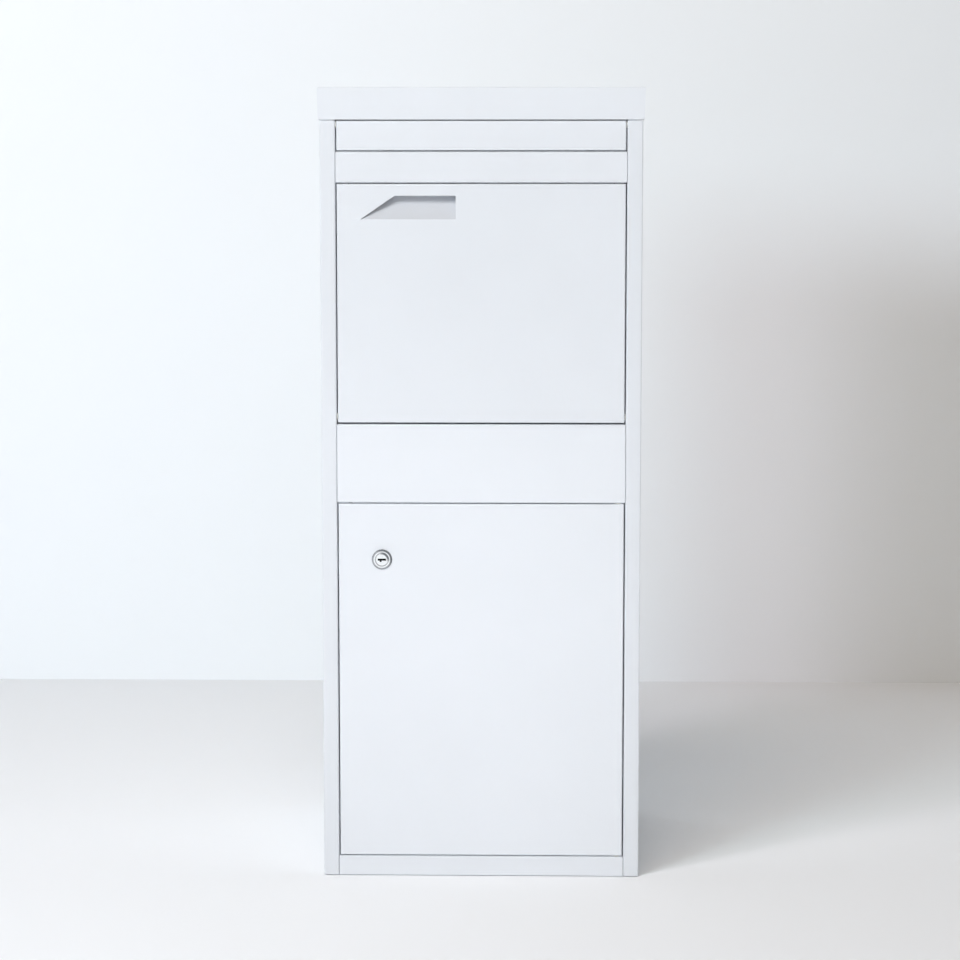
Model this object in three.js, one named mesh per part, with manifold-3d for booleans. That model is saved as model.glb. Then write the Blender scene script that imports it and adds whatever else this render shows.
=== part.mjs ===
// Parcel drop box: a free-standing sheet-steel cabinet with a letter flap, a tilting parcel hopper
// and a lockable collection door.
// Millimetres, +Z up. The box faces -Y, and its origin is the middle of its footprint on the floor.

import * as THREE from 'three';
import { mergeVertices } from 'three/addons/utils/BufferGeometryUtils.js';
import Module from 'manifold-3d';

const wasm = await Module();
wasm.setup();

// Overall size
const HEIGHT = 1050;
const BODY_WIDTH = 422;
const BODY_DEPTH = 381;
const CAP_OVERHANG = 4;

// Sheet metal
const SHEET = 1.2;
const BASE_SHEET = 2;
const BEND_INNER = 1.2;
const BEND_OUTER = BEND_INNER + SHEET;
const BEND_STEPS = 4;
const SMOOTH_TURN = 0.3;
const ROUND_STEPS = 24;

// Fits: FIT parts two pieces that touch, PANEL_GAP is the open joint round a moving front
const FIT = 0.3;
const PANEL_GAP = 1.5;

// Front frame
const STILE_WIDTH = 20.5;
const JAMB_DEPTH = 14;
const JAMB_RETURN = 12;
const BACK_FLANGE = 20;
const RAIL_DEPTH = 17;
const MIDDLE_TOP_DEPTH = 12;
const RAIL_LIP = 10;

// Fronts and rails from the roof down, with the joints between them; the door takes what is left
const HEADER_DROP = 39;
const HEADER_JOINT = 3.6;
const FLAP_HEIGHT = 39.1;
const UPPER_RAIL_HEIGHT = 40.5;
const HOPPER_HEIGHT = 313.3;
const HOPPER_JOINT = 2.1;
const MIDDLE_PANEL_HEIGHT = 104.4;
const LOWER_RAIL_HEIGHT = 27.1;
const FRONT_JOINT = 1.3;
const FRONT_DEPTH = 12;
const DOOR_LIP = 10;

// Roof cap
const CAP_LIP = 41.8;
const CAP_SIDE_CLEARANCE = 0.4;
const CAP_DRAFT = 1.2;
const CAP_CORNER = 3;
const TOP_FLANGE = 20;
const STUD_RADIUS = 2.5;
const STUD_LENGTH = 7.5;
const STUD_SIDE_INSET = 61;
const STUD_INSET = 12;
const NUT_RADIUS = 4.6;
const NUT_HEIGHT = 4;

// Base pan, which the shell rides on just clear of the floor, and fixing holes
const SHELL_RISE = 1;
const BASE_FLANGE = 20;
const ANCHOR_RADIUS = 6;
const ANCHOR_INSET = 71;
const WALL_HOLE_RADIUS = 4.5;
const WALL_HOLE_INSET = 61;
const WALL_HOLE_RISE = 300;
const WALL_HOLE_DROP = 200;

// Pivots of the three fronts: pin, nylon bush, and the place of the axis in the front
const PIN_RADIUS = 2.5;
const PIN_HEAD_RADIUS = 3.8;
const PIN_HEAD = 2;
const BUSH_WALL = 0.95;
const BUSH_COLLAR = 4.6;
const BUSH_TAIL = 2.3;
const PIVOT_INSET = 6;
const PIVOT_EDGE = 8;
const FLAP_PIVOT_EDGE = 5.5;

// Letter flap
const EAR_WIDTH = 8;
const EAR_HEIGHT = 12;
const EAR_RISE = 4;
const WEIGHT_INSET = 39;
const WEIGHT_GAP = 2;
const WEIGHT_WIDTH = 8;
const WEIGHT_HEIGHT = 12;

// Letter chute
const CHUTE_FRONT_DROP = 2.5;
const CHUTE_FALL = 71;
const CHUTE_FRONT_FLANGE = 16;
const CHUTE_REAR_FLANGE = 12;
const CHUTE_SIDE_FLANGE = 12;

// Hopper, measured round its pivot; angles rise from the rear
const HOPPER_SWING = 48;
const CHEEK_SETBACK = 7;
const CHEEK_EDGE_ANGLE = 38;
const CHEEK_STOP_FLANGE = 12;
const CHEEK_DROP = 6;
const CHEEK_RELIEF = 5;
const CHEEK_STEPS = 12;
const TRAY_CLEARANCE = 3;
const TRAY_FALL = 30;
const TRAY_HEIGHT = 14;
const TRAY_FRONT_FLANGE = 18;
const TRAY_SIDE_FLANGE = 12;
const TRAY_HEM = 12;
const TRAY_RELIEF = 6;

// Handle opening, measured from the left and upper edges of the hopper front, and its finger pocket
const HANDLE_DROP = 15.6;
const HANDLE_HEIGHT = 30.5;
const HANDLE_TOE = 31.2;
const HANDLE_SHOULDER = 75.8;
const HANDLE_END = 155.8;
const POCKET_MARGIN = 3.5;
const POCKET_DEPTH = 23;
const POCKET_FLANGE = 14;
const POCKET_RISE = 9;

// Baffle that stops a hand from reaching down past the open hopper
const BAFFLE_RADIUS = 215;
const BAFFLE_SIDE_GAP = 10;
const BAFFLE_TOP_ANGLE = 30;
const BAFFLE_END_ANGLE = 12;
const BAFFLE_HEM = 10;
const BAFFLE_SIDE_FLANGE = 10;
const BAFFLE_STEPS = 6;

// Rubber buffers
const BUFFER_RADIUS = 4.5;
const BUFFER_STEM = 2;
const BUFFER_BARB = 2.8;
const BUFFER_CROWN = 0.8;
const STOP_GAP = 0.5;
const CLOSING_BUFFER_INSET = 16.5;
const CLOSING_BUFFER_DROP = 5.5;

// Cam lock, measured from the left and upper edges of the door
const LOCK_INSET = 57.5;
const LOCK_DROP = 74.3;
const BEZEL_RADIUS = 13.5;
const BEZEL_HEIGHT = 3;
const BEZEL_BEVEL = 2;
const BARREL_RADIUS = 10.8;
const BARREL_FLAT = 9.6;
const BARREL_LENGTH = 16.5;
const PLUG_FACE_RADIUS = 8.5;
const PLUG_FACE = 4;
const PLUG_RADIUS = 7;
const PLUG_RECESS = 0.4;
const TANG = 7;
const LOCK_NUT_FLATS = 27;
const LOCK_NUT_HEIGHT = 5;
const KEYWAY_LENGTH = 10.6;
const KEYWAY_WIDTH = 2;
const KEYWAY_DEPTH = 9;
const NOTCH_HEIGHT = 1.8;
const NOTCH_OFFSET = 1.7;
const CAM_LENGTH = 48;
const CAM_HUB = 9;
const CAM_TIP = 6.5;
const CAM_THICKNESS = 2.5;
const CAM_SCREW_RADIUS = 5.5;
const CAM_SCREW_HEAD = 3;
const CAM_SCREW_CHAMFER = 1;
const CAM_SCREW_SHANK = 2;
const CAM_SCREW_LENGTH = 8;
const CAM_STEPS = 12;
const KEEPER_REACH = 22;
const KEEPER_HEIGHT = 50;
const KEEPER_SHEET = 2;
const KEEPER_CORNER = 6;

// Planes and axes that follow from the sizes above
const HALF_WIDTH = BODY_WIDTH / 2;
const OPENING = HALF_WIDTH - STILE_WIDTH;
const FRONT_HALF = OPENING - PANEL_GAP;
const FRONT_Y = CAP_OVERHANG - (BODY_DEPTH + CAP_OVERHANG) / 2;
const BACK_Y = FRONT_Y + BODY_DEPTH;
const INNER_WALL = HALF_WIDTH - SHEET;
const SHELL_BACK_Y = BACK_Y - SHEET - FIT;
const SHELL_TOP = HEIGHT - SHEET - FIT;
const HEADER_BOTTOM = HEIGHT - HEADER_DROP;
const FLAP_TOP = HEADER_BOTTOM - HEADER_JOINT;
const FLAP_BOTTOM = FLAP_TOP - FLAP_HEIGHT;
const UPPER_RAIL_TOP = FLAP_BOTTOM - FRONT_JOINT;
const UPPER_RAIL_BOTTOM = UPPER_RAIL_TOP - UPPER_RAIL_HEIGHT;
const HOPPER_TOP = UPPER_RAIL_BOTTOM - FRONT_JOINT;
const HOPPER_BOTTOM = HOPPER_TOP - HOPPER_HEIGHT;
const MIDDLE_PANEL_TOP = HOPPER_BOTTOM - HOPPER_JOINT;
const MIDDLE_PANEL_BOTTOM = MIDDLE_PANEL_TOP - MIDDLE_PANEL_HEIGHT;
const DOOR_TOP = MIDDLE_PANEL_BOTTOM - FRONT_JOINT;
const DOOR_BOTTOM = LOWER_RAIL_HEIGHT + FRONT_JOINT;
const JAMB_REAR_Y = FRONT_Y + JAMB_DEPTH;
const REBATE_Y = FRONT_Y + RAIL_DEPTH - SHEET;
const FRONT_REAR_Y = FRONT_Y + FRONT_DEPTH;
const PIVOT_Y = FRONT_Y + PIVOT_INSET;
const HOPPER_PIVOT_Z = HOPPER_BOTTOM + PIVOT_EDGE;
const FLAP_PIVOT_Z = FLAP_TOP - FLAP_PIVOT_EDGE;
const DOOR_PIVOT_X = FRONT_HALF - PIVOT_EDGE;
const LOCK_X = LOCK_INSET - FRONT_HALF;
const LOCK_Z = DOOR_TOP - LOCK_DROP;
const STUD_X = HALF_WIDTH - STUD_SIDE_INSET;
const BAFFLE_HALF_WIDTH = OPENING - BAFFLE_SIDE_GAP;
const TRAY_REACH = BAFFLE_RADIUS - TRAY_CLEARANCE;
const CHEEK_WAIST = TRAY_REACH - CHEEK_SETBACK;
const CHEEK_REACH = HOPPER_HEIGHT - PIVOT_EDGE - SHEET - FIT;
const POCKET_LEFT = HANDLE_TOE - FRONT_HALF - POCKET_MARGIN;
const POCKET_RIGHT = HANDLE_END - FRONT_HALF + POCKET_MARGIN;

// Finishes
const PAINT = { color: 0xe9eef5, roughness: 0.45, metalness: 0.0 };
const ZINC = { color: 0xb4b8bc, roughness: 0.38, metalness: 0.9 };
const NICKEL = { color: 0xc9ccd0, roughness: 0.22, metalness: 1.0 };
const NYLON = { color: 0xe6e7e4, roughness: 0.55, metalness: 0.0 };
const RUBBER = { color: 0x202124, roughness: 0.85, metalness: 0.0 };

// Solids from geometry and back
function solid(geometry) {
  const bare = geometry.clone();
  bare.deleteAttribute('normal');
  bare.deleteAttribute('uv');
  const merged = mergeVertices(bare, 1e-4);
  return new wasm.Manifold(new wasm.Mesh({
    numProp: 3,
    vertProperties: new Float32Array(merged.attributes.position.array),
    triVerts: new Uint32Array(merged.index.array),
  }));
}

function geometryOf(body) {
  const mesh = body.getMesh();
  const geometry = new THREE.BufferGeometry();
  geometry.setAttribute('position', new THREE.BufferAttribute(mesh.vertProperties, 3));
  geometry.setIndex(new THREE.BufferAttribute(mesh.triVerts, 1));
  geometry.computeVertexNormals();
  return geometry;
}

const join = (...bodies) => bodies.reduce((a, b) => a.add(b));
const cut = (body, ...tools) => tools.reduce((a, b) => a.subtract(b), body);
const meet = (a, b) => a.intersect(b);

// Mirror image of a body in the plane x = 0
function mirrored(body) {
  const mesh = body.getMesh();
  const vertices = mesh.vertProperties.map((value, i) => (i % 3 === 0 ? -value : value));
  const triangles = new Uint32Array(mesh.triVerts.length);
  for (let i = 0; i < triangles.length; i += 3) {
    triangles[i] = mesh.triVerts[i];
    triangles[i + 1] = mesh.triVerts[i + 2];
    triangles[i + 2] = mesh.triVerts[i + 1];
  }
  return new wasm.Manifold(new wasm.Mesh({ numProp: 3, vertProperties: vertices, triVerts: triangles }));
}

// Extrusions of a closed outline along each axis
function extrude(outline, length) {
  const shape = new THREE.Shape(outline.map(([a, b]) => new THREE.Vector2(a, b)));
  return new THREE.ExtrudeGeometry(shape, { depth: length, bevelEnabled: false });
}

const ALONG_X = new THREE.Matrix4().makeBasis(
  new THREE.Vector3(0, 1, 0), new THREE.Vector3(0, 0, 1), new THREE.Vector3(1, 0, 0));
const ALONG_Y = new THREE.Matrix4().makeBasis(
  new THREE.Vector3(1, 0, 0), new THREE.Vector3(0, 0, 1), new THREE.Vector3(0, -1, 0));

// Outline in (y, z)
function prismX(outline, x0, x1) {
  return solid(extrude(outline, x1 - x0).applyMatrix4(ALONG_X).translate(x0, 0, 0));
}

// Outline in (x, z)
function prismY(outline, y0, y1) {
  return solid(extrude(outline, y1 - y0).applyMatrix4(ALONG_Y).translate(0, y1, 0));
}

// Outline in (x, y)
function prismZ(outline, z0, z1) {
  return solid(extrude(outline, z1 - z0).translate(0, 0, z0));
}

function block([x0, x1], [y0, y1], [z0, z1]) {
  const geometry = new THREE.BoxGeometry(x1 - x0, y1 - y0, z1 - z0);
  return solid(geometry.translate((x0 + x1) / 2, (y0 + y1) / 2, (z0 + z1) / 2));
}

// Revolved body: counterclockwise [radius, height] points, with height along the axis named
const AXIS_TURNS = {
  'y': [0, 0],
  '-y': [Math.PI, 0],
  'z': [Math.PI / 2, 0],
  '-z': [-Math.PI / 2, 0],
  'x': [0, -Math.PI / 2],
  '-x': [0, Math.PI / 2],
};

function revolved(profile, axis, [x, y, z]) {
  const closed = [...profile, profile[0]].map(([r, h]) => new THREE.Vector2(r, h));
  const [aboutX, aboutZ] = AXIS_TURNS[axis];
  const geometry = new THREE.LatheGeometry(closed, ROUND_STEPS);
  return solid(geometry.rotateX(aboutX).rotateZ(aboutZ).translate(x, y, z));
}

// Round bar between two heights on an axis, for holes and studs
function rod(radius, axis, at, h0, h1) {
  return revolved([[0, h0], [radius, h0], [radius, h1], [0, h1]], axis, at);
}

// Points of the arc that rounds a corner of an outline
function cornerArc(corner, heading, turn, radius) {
  const side = Math.sign(turn);
  const normal = new THREE.Vector2(-heading.y, heading.x).multiplyScalar(side * radius);
  const centre = corner.clone()
    .addScaledVector(heading, -radius * Math.tan(Math.abs(turn) / 2))
    .add(normal);
  const steps = Math.max(1, Math.round(Math.abs(turn) / (Math.PI / 2) * BEND_STEPS));
  return Array.from({ length: steps + 1 }, (_, k) => {
    const spoke = normal.clone().negate().rotateAround(new THREE.Vector2(), turn * k / steps);
    return spoke.add(centre).toArray();
  });
}

const turnBetween = (a, b) => Math.atan2(a.cross(b), a.dot(b));

// Closed outline with a radius for each corner
function rounded(points, radii) {
  const corners = points.map(([a, b]) => new THREE.Vector2(a, b));
  return corners.flatMap((corner, i) => {
    if (radii[i] === 0) return [corner.toArray()];
    const heading = corner.clone().sub(corners.at(i - 1)).normalize();
    const next = corners[(i + 1) % corners.length].clone().sub(corner).normalize();
    return cornerArc(corner, heading, turnBetween(heading, next), radii[i]);
  });
}

// Section of a sheet folded along a path, with its material on the path's left
function folded(path, sheet = SHEET) {
  const points = path.map(([a, b]) => new THREE.Vector2(a, b));
  const headings = points.slice(1).map((point, i) => point.clone().sub(points[i]).normalize());
  const leftOf = heading => new THREE.Vector2(-heading.y, heading.x).multiplyScalar(sheet);
  const near = [points[0].toArray()];
  const far = [points[0].clone().add(leftOf(headings[0])).toArray()];
  for (let i = 1; i < points.length - 1; i++) {
    const turn = turnBetween(headings[i - 1], headings[i]);
    const middle = headings[i - 1].clone().add(headings[i]).normalize();
    const mitre = leftOf(middle).divideScalar(Math.cos(turn / 2));
    const farCorner = points[i].clone().add(mitre);
    if (Math.abs(turn) < SMOOTH_TURN) {
      near.push(points[i].toArray());
      far.push(farCorner.toArray());
    } else {
      const nearRadius = turn > 0 ? BEND_INNER + sheet : BEND_INNER;
      const farRadius = turn > 0 ? BEND_INNER : BEND_INNER + sheet;
      near.push(...cornerArc(points[i], headings[i - 1], turn, nearRadius));
      far.push(...cornerArc(farCorner, headings[i - 1], turn, farRadius));
    }
  }
  near.push(points.at(-1).toArray());
  far.push(points.at(-1).clone().add(leftOf(headings.at(-1))).toArray());
  return [...near, ...far.reverse()];
}

// Points on a circle round the origin, with angles in degrees from the first axis
const radians = THREE.MathUtils.degToRad;
const polar = (radius, angle) => [radius * Math.cos(radians(angle)), radius * Math.sin(radians(angle))];

function arc(radius, from, to, steps) {
  return Array.from({ length: steps + 1 }, (_, k) => polar(radius, from + (to - from) * k / steps));
}

const polygon = (radius, sides) => arc(radius, 0, 360 - 360 / sides, sides - 1);

// Folded front panel: its face at the plane named, four flanges running back and a lip if asked
function pan({ face, left, right, bottom, top, lip = 0 }) {
  const rear = face + FRONT_DEPTH;
  const rearRadius = lip > 0 ? BEND_OUTER : 0;
  const form = (inset, radius, back, backRadius) => meet(
    prismX(rounded([
      [face + inset, bottom + inset],
      [back, bottom + inset],
      [back, top - inset],
      [face + inset, top - inset],
    ], [radius, backRadius, backRadius, radius]), left + inset, right - inset),
    prismZ(rounded([
      [left + inset, face + inset],
      [right - inset, face + inset],
      [right - inset, back],
      [left + inset, back],
    ], [radius, radius, backRadius, backRadius]), bottom + inset, top - inset));
  const outer = form(0, BEND_OUTER, rear, rearRadius);
  if (lip === 0) return cut(outer, form(SHEET, BEND_INNER, rear + SHEET, 0));
  const rearWindow = block(
    [left + lip, right - lip], [rear - 2 * SHEET, rear + SHEET], [bottom + lip, top - lip]);
  return cut(outer, form(SHEET, BEND_INNER, rear - SHEET, BEND_INNER), rearWindow);
}

// Pivot hardware. Heights run from the moving front, across the joint and through its host
const BORE_RADIUS = PIN_RADIUS + FIT;
const BUSH_RADIUS = BORE_RADIUS + BUSH_WALL;

function pivotPin(axis, at, gap, stack = SHEET) {
  const head = -stack - FIT;
  const end = gap + SHEET + BUSH_TAIL;
  return revolved([
    [0, head - PIN_HEAD],
    [PIN_HEAD_RADIUS, head - PIN_HEAD],
    [PIN_HEAD_RADIUS, head],
    [PIN_RADIUS, head],
    [PIN_RADIUS, end],
    [0, end],
  ], axis, at);
}

function pivotBush(axis, at, gap) {
  return revolved([
    [BORE_RADIUS, FIT - gap],
    [BUSH_COLLAR, FIT - gap],
    [BUSH_COLLAR, -FIT],
    [BUSH_RADIUS, -FIT],
    [BUSH_RADIUS, SHEET + BUSH_TAIL],
    [BORE_RADIUS, SHEET + BUSH_TAIL],
  ], axis, at);
}

const bushHole = (axis, at) => rod(BUSH_RADIUS + FIT, axis, at, -SHEET, 2 * BEND_OUTER);
const pinHole = (axis, at, stack = SHEET) => rod(BORE_RADIUS, axis, at, -stack - SHEET, SHEET);

// Push-in rubber buffer; its head stands on the face named and its barb grips behind the sheet
function buffer(axis, at, head) {
  const grip = -SHEET - FIT;
  return revolved([
    [0, grip - BUFFER_BARB],
    [BUFFER_STEM / 2, grip - BUFFER_BARB],
    [BUFFER_BARB, grip],
    [BUFFER_STEM, grip],
    [BUFFER_STEM, FIT],
    [BUFFER_RADIUS, FIT],
    [BUFFER_RADIUS, FIT + head - BUFFER_CROWN],
    [BUFFER_RADIUS - BUFFER_CROWN, FIT + head],
    [0, FIT + head],
  ], axis, at);
}

const bufferHole = (axis, at) => rod(BUFFER_STEM + FIT, axis, at, -2 * SHEET, SHEET);
const CLOSING_HEAD = REBATE_Y - FRONT_REAR_Y - 2 * FIT;

// Places of the buffers
const STOP_BUFFER_X = OPENING + JAMB_RETURN / 2;
const STOP_RADIUS = (CHEEK_WAIST + CHEEK_REACH) / 2;
const STOP_BUFFER_Z = HOPPER_PIVOT_Z + STOP_RADIUS;
const CLOSING_BUFFER_X = OPENING - CLOSING_BUFFER_INSET;
const HOPPER_BUFFER_Z = UPPER_RAIL_BOTTOM - CLOSING_BUFFER_DROP;
const DOOR_BUFFER_LOW = LOWER_RAIL_HEIGHT + CLOSING_BUFFER_DROP;
const DOOR_BUFFER_HIGH = MIDDLE_PANEL_BOTTOM - CLOSING_BUFFER_DROP;

// Right side panel: rear flange, wall, stile, jamb and a return that stiffens the stile
function sidePanel() {
  const section = folded([
    [OPENING + JAMB_RETURN, JAMB_REAR_Y],
    [OPENING, JAMB_REAR_Y],
    [OPENING, FRONT_Y],
    [HALF_WIDTH, FRONT_Y],
    [HALF_WIDTH, SHELL_BACK_Y],
    [HALF_WIDTH - BACK_FLANGE, SHELL_BACK_Y],
  ]);
  return cut(
    prismZ(section, SHELL_RISE, SHELL_TOP),
    bushHole('x', [OPENING, PIVOT_Y, FLAP_PIVOT_Z]),
    bushHole('x', [OPENING, PIVOT_Y, HOPPER_PIVOT_Z]),
    bufferHole('y', [STOP_BUFFER_X, JAMB_REAR_Y, STOP_BUFFER_Z]),
  );
}

// Back panel with wall-fixing holes and a top flange between the side panels' rear flanges
function backPanel() {
  const flangeHalf = HALF_WIDTH - BACK_FLANGE - FIT;
  const section = folded([
    [BACK_Y, SHELL_RISE],
    [BACK_Y, SHELL_TOP],
    [BACK_Y - TOP_FLANGE, SHELL_TOP],
  ]);
  const sheet = block(
    [-HALF_WIDTH, HALF_WIDTH], [BACK_Y - SHEET, BACK_Y], [SHELL_RISE, SHELL_TOP - BEND_OUTER]);
  const holeX = HALF_WIDTH - WALL_HOLE_INSET;
  const holes = [-holeX, holeX].flatMap(x => [WALL_HOLE_RISE, HEIGHT - WALL_HOLE_DROP].map(
    z => rod(WALL_HOLE_RADIUS, 'y', [x, BACK_Y, z], -2 * SHEET, SHEET)));
  const panel = join(prismX(section, -flangeHalf, flangeHalf), sheet);
  return cut(panel, ...holes, ...studHoles(BACK_Y - STUD_INSET));
}

const studHoles = y => [-STUD_X, STUD_X].map(
  x => rod(STUD_RADIUS + FIT, 'z', [x, y, SHELL_TOP], -2 * SHEET, SHEET));

// Base pan with floor anchor holes, notched round the feet of the stiles
function basePan() {
  const half = INNER_WALL - FIT;
  const front = FRONT_Y + SHEET + FIT;
  const rear = SHELL_BACK_Y - SHEET - FIT;
  const form = (inset, top, radius) => meet(
    prismX(rounded([
      [front + inset, inset],
      [rear - inset, inset],
      [rear - inset, top],
      [front + inset, top],
    ], [radius, radius, 0, 0]), -half + inset, half - inset),
    prismY(rounded([
      [-half + inset, inset],
      [half - inset, inset],
      [half - inset, top],
      [-half + inset, top],
    ], [radius, radius, 0, 0]), front + inset, rear - inset));
  const notch = side => block(
    side > 0 ? [OPENING - FIT, HALF_WIDTH] : [-HALF_WIDTH, FIT - OPENING],
    [FRONT_Y, JAMB_REAR_Y + FIT], [-BASE_SHEET, 2 * BASE_FLANGE]);
  const anchorX = HALF_WIDTH - ANCHOR_INSET;
  const anchorY = BODY_DEPTH / 2 - ANCHOR_INSET;
  const anchors = [-anchorX, anchorX].flatMap(x => [-anchorY, anchorY].map(
    y => rod(ANCHOR_RADIUS, 'z', [x, y, 0], -BASE_SHEET, 2 * BASE_SHEET)));
  const plan = prismZ(rounded([
    [-half, front], [half, front], [half, rear], [-half, rear],
  ], [0, 0, BEND_OUTER, BEND_OUTER]), -BASE_SHEET, 2 * BASE_FLANGE);
  return cut(
    meet(form(0, BASE_FLANGE, BEND_INNER + BASE_SHEET), plan),
    form(BASE_SHEET, 2 * BASE_FLANGE, BEND_INNER),
    notch(1), notch(-1), ...anchors);
}

// Roof cap: lips that draw in towards their lower edge, and four studs under its top
function roofCap() {
  const lipBottom = HEIGHT - CAP_LIP;
  const halfLow = HALF_WIDTH + CAP_SIDE_CLEARANCE + SHEET;
  const frontTop = FRONT_Y - CAP_OVERHANG;
  const drawIn = z => CAP_DRAFT * (HEIGHT - z) / CAP_LIP;
  const form = (inset, low, back, radius) => {
    const top = HEIGHT - inset;
    const half = z => halfLow + CAP_DRAFT - drawIn(z) - inset;
    const front = z => frontTop + drawIn(z) + inset;
    return meet(
      prismX(rounded([
        [front(low), low], [back, low], [back, top], [front(top), top],
      ], [0, 0, 0, radius]), -BODY_WIDTH, BODY_WIDTH),
      prismY(rounded([
        [-half(low), low], [half(low), low], [half(top), top], [-half(top), top],
      ], [0, 0, radius, radius]), frontTop - SHEET, back));
  };
  const shell = cut(
    form(0, lipBottom, BACK_Y, BEND_OUTER),
    form(SHEET, lipBottom - SHEET, BACK_Y + SHEET, BEND_INNER));
  const studs = [-STUD_X, STUD_X].flatMap(x => [FRONT_Y, BACK_Y].map(y => rod(
    STUD_RADIUS, '-z', [x, y + Math.sign(-y) * STUD_INSET, HEIGHT - SHEET], -SHEET / 2, STUD_LENGTH)));
  const relief = cornerRelief(halfLow, lipBottom);
  return cut(join(shell, ...studs), relief, mirrored(relief));
}

// Rounding of the front lip's lower corner
function cornerRelief(halfLow, lipBottom) {
  const outline = [
    [halfLow + SHEET, lipBottom - SHEET],
    [halfLow + SHEET, lipBottom + CAP_CORNER],
    ...arc(CAP_CORNER, 0, -90, BEND_STEPS)
      .map(([a, b]) => [halfLow - CAP_CORNER + a, lipBottom + CAP_CORNER + b]),
    [halfLow - CAP_CORNER, lipBottom - SHEET],
  ];
  return prismY(outline, FRONT_Y - 2 * CAP_OVERHANG, FRONT_Y - SHEET / 2);
}

function capNut([x, y]) {
  const top = SHELL_TOP - SHEET - FIT;
  const nut = prismZ(polygon(NUT_RADIUS, 6), top - NUT_HEIGHT, top).translate([x, y, 0]);
  return cut(nut, rod(STUD_RADIUS + FIT, 'z', [x, y, top], -2 * NUT_HEIGHT, NUT_HEIGHT));
}

// Fixed rails between the stiles
const RAIL_HALF = OPENING - FIT;
const railOf = path => prismX(folded(path), -RAIL_HALF, RAIL_HALF);

function headerRail() {
  const rail = railOf([
    [FRONT_Y + TOP_FLANGE, SHELL_TOP],
    [FRONT_Y, SHELL_TOP],
    [FRONT_Y, HEADER_BOTTOM],
    [FRONT_Y + FRONT_DEPTH, HEADER_BOTTOM],
  ]);
  return cut(rail, ...studHoles(FRONT_Y + STUD_INSET));
}

// Upper rail; its rebate lip leaves room for the cheeks and the handle pocket of the hopper
function upperRail() {
  const rail = railOf([
    [FRONT_Y + RAIL_DEPTH, UPPER_RAIL_TOP - RAIL_LIP],
    [FRONT_Y + RAIL_DEPTH, UPPER_RAIL_TOP],
    [FRONT_Y, UPPER_RAIL_TOP],
    [FRONT_Y, UPPER_RAIL_BOTTOM],
    [REBATE_Y, UPPER_RAIL_BOTTOM],
    [REBATE_Y, UPPER_RAIL_BOTTOM - RAIL_LIP],
  ]);
  const lip = (x0, x1) => block(
    [x0, x1], [REBATE_Y - SHEET, REBATE_Y + 2 * SHEET],
    [UPPER_RAIL_BOTTOM - 2 * RAIL_LIP, UPPER_RAIL_BOTTOM - FIT]);
  return cut(
    rail,
    lip(-RAIL_HALF - FIT, -BAFFLE_HALF_WIDTH),
    lip(POCKET_LEFT - POCKET_MARGIN, POCKET_RIGHT + POCKET_MARGIN),
    lip(BAFFLE_HALF_WIDTH, RAIL_HALF + FIT),
    bufferHole('-y', [-CLOSING_BUFFER_X, REBATE_Y, HOPPER_BUFFER_Z]),
    bufferHole('-y', [CLOSING_BUFFER_X, REBATE_Y, HOPPER_BUFFER_Z]));
}

function middlePanel() {
  const rail = railOf([
    [FRONT_Y + MIDDLE_TOP_DEPTH, MIDDLE_PANEL_TOP - RAIL_LIP],
    [FRONT_Y + MIDDLE_TOP_DEPTH, MIDDLE_PANEL_TOP],
    [FRONT_Y, MIDDLE_PANEL_TOP],
    [FRONT_Y, MIDDLE_PANEL_BOTTOM],
    [REBATE_Y, MIDDLE_PANEL_BOTTOM],
    [REBATE_Y, MIDDLE_PANEL_BOTTOM - RAIL_LIP],
  ]);
  return cut(
    rail,
    bushHole('z', [DOOR_PIVOT_X, PIVOT_Y, MIDDLE_PANEL_BOTTOM]),
    bufferHole('-y', [-CLOSING_BUFFER_X, REBATE_Y, DOOR_BUFFER_HIGH]));
}

function lowerRail() {
  const rail = railOf([
    [REBATE_Y, LOWER_RAIL_HEIGHT + RAIL_LIP],
    [REBATE_Y, LOWER_RAIL_HEIGHT],
    [FRONT_Y, LOWER_RAIL_HEIGHT],
    [FRONT_Y, SHELL_RISE],
  ]);
  return cut(
    rail,
    bushHole('-z', [DOOR_PIVOT_X, PIVOT_Y, LOWER_RAIL_HEIGHT]),
    bufferHole('-y', [-CLOSING_BUFFER_X, REBATE_Y, DOOR_BUFFER_LOW]));
}

// Letter chute: letters slide back over the hopper and drop behind the baffle
const BAFFLE_Y = PIVOT_Y + polar(BAFFLE_RADIUS, BAFFLE_TOP_ANGLE)[0];
const CHUTE_FRONT = [FRONT_Y + RAIL_DEPTH + FIT, UPPER_RAIL_TOP - CHUTE_FRONT_DROP];
const CHUTE_REAR = [BAFFLE_Y - FIT, CHUTE_FRONT[1] - CHUTE_FALL];

function letterChute() {
  const half = INNER_WALL - FIT;
  const deck = prismX(folded([
    [CHUTE_REAR[0], CHUTE_REAR[1] - CHUTE_REAR_FLANGE],
    CHUTE_REAR,
    CHUTE_FRONT,
    [CHUTE_FRONT[0], CHUTE_FRONT[1] - CHUTE_FRONT_FLANGE],
  ]), -half, half);
  const flange = prismX([
    [CHUTE_FRONT[0] + BEND_OUTER, CHUTE_FRONT[1] - SHEET - BEND_INNER],
    [CHUTE_REAR[0] - BEND_OUTER, CHUTE_REAR[1]],
    [CHUTE_REAR[0] - BEND_OUTER, CHUTE_REAR[1] + CHUTE_SIDE_FLANGE],
    [CHUTE_FRONT[0] + BEND_OUTER, CHUTE_FRONT[1] - SHEET + CHUTE_SIDE_FLANGE],
  ], half - SHEET, half);
  return join(deck, flange, mirrored(flange));
}

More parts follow.
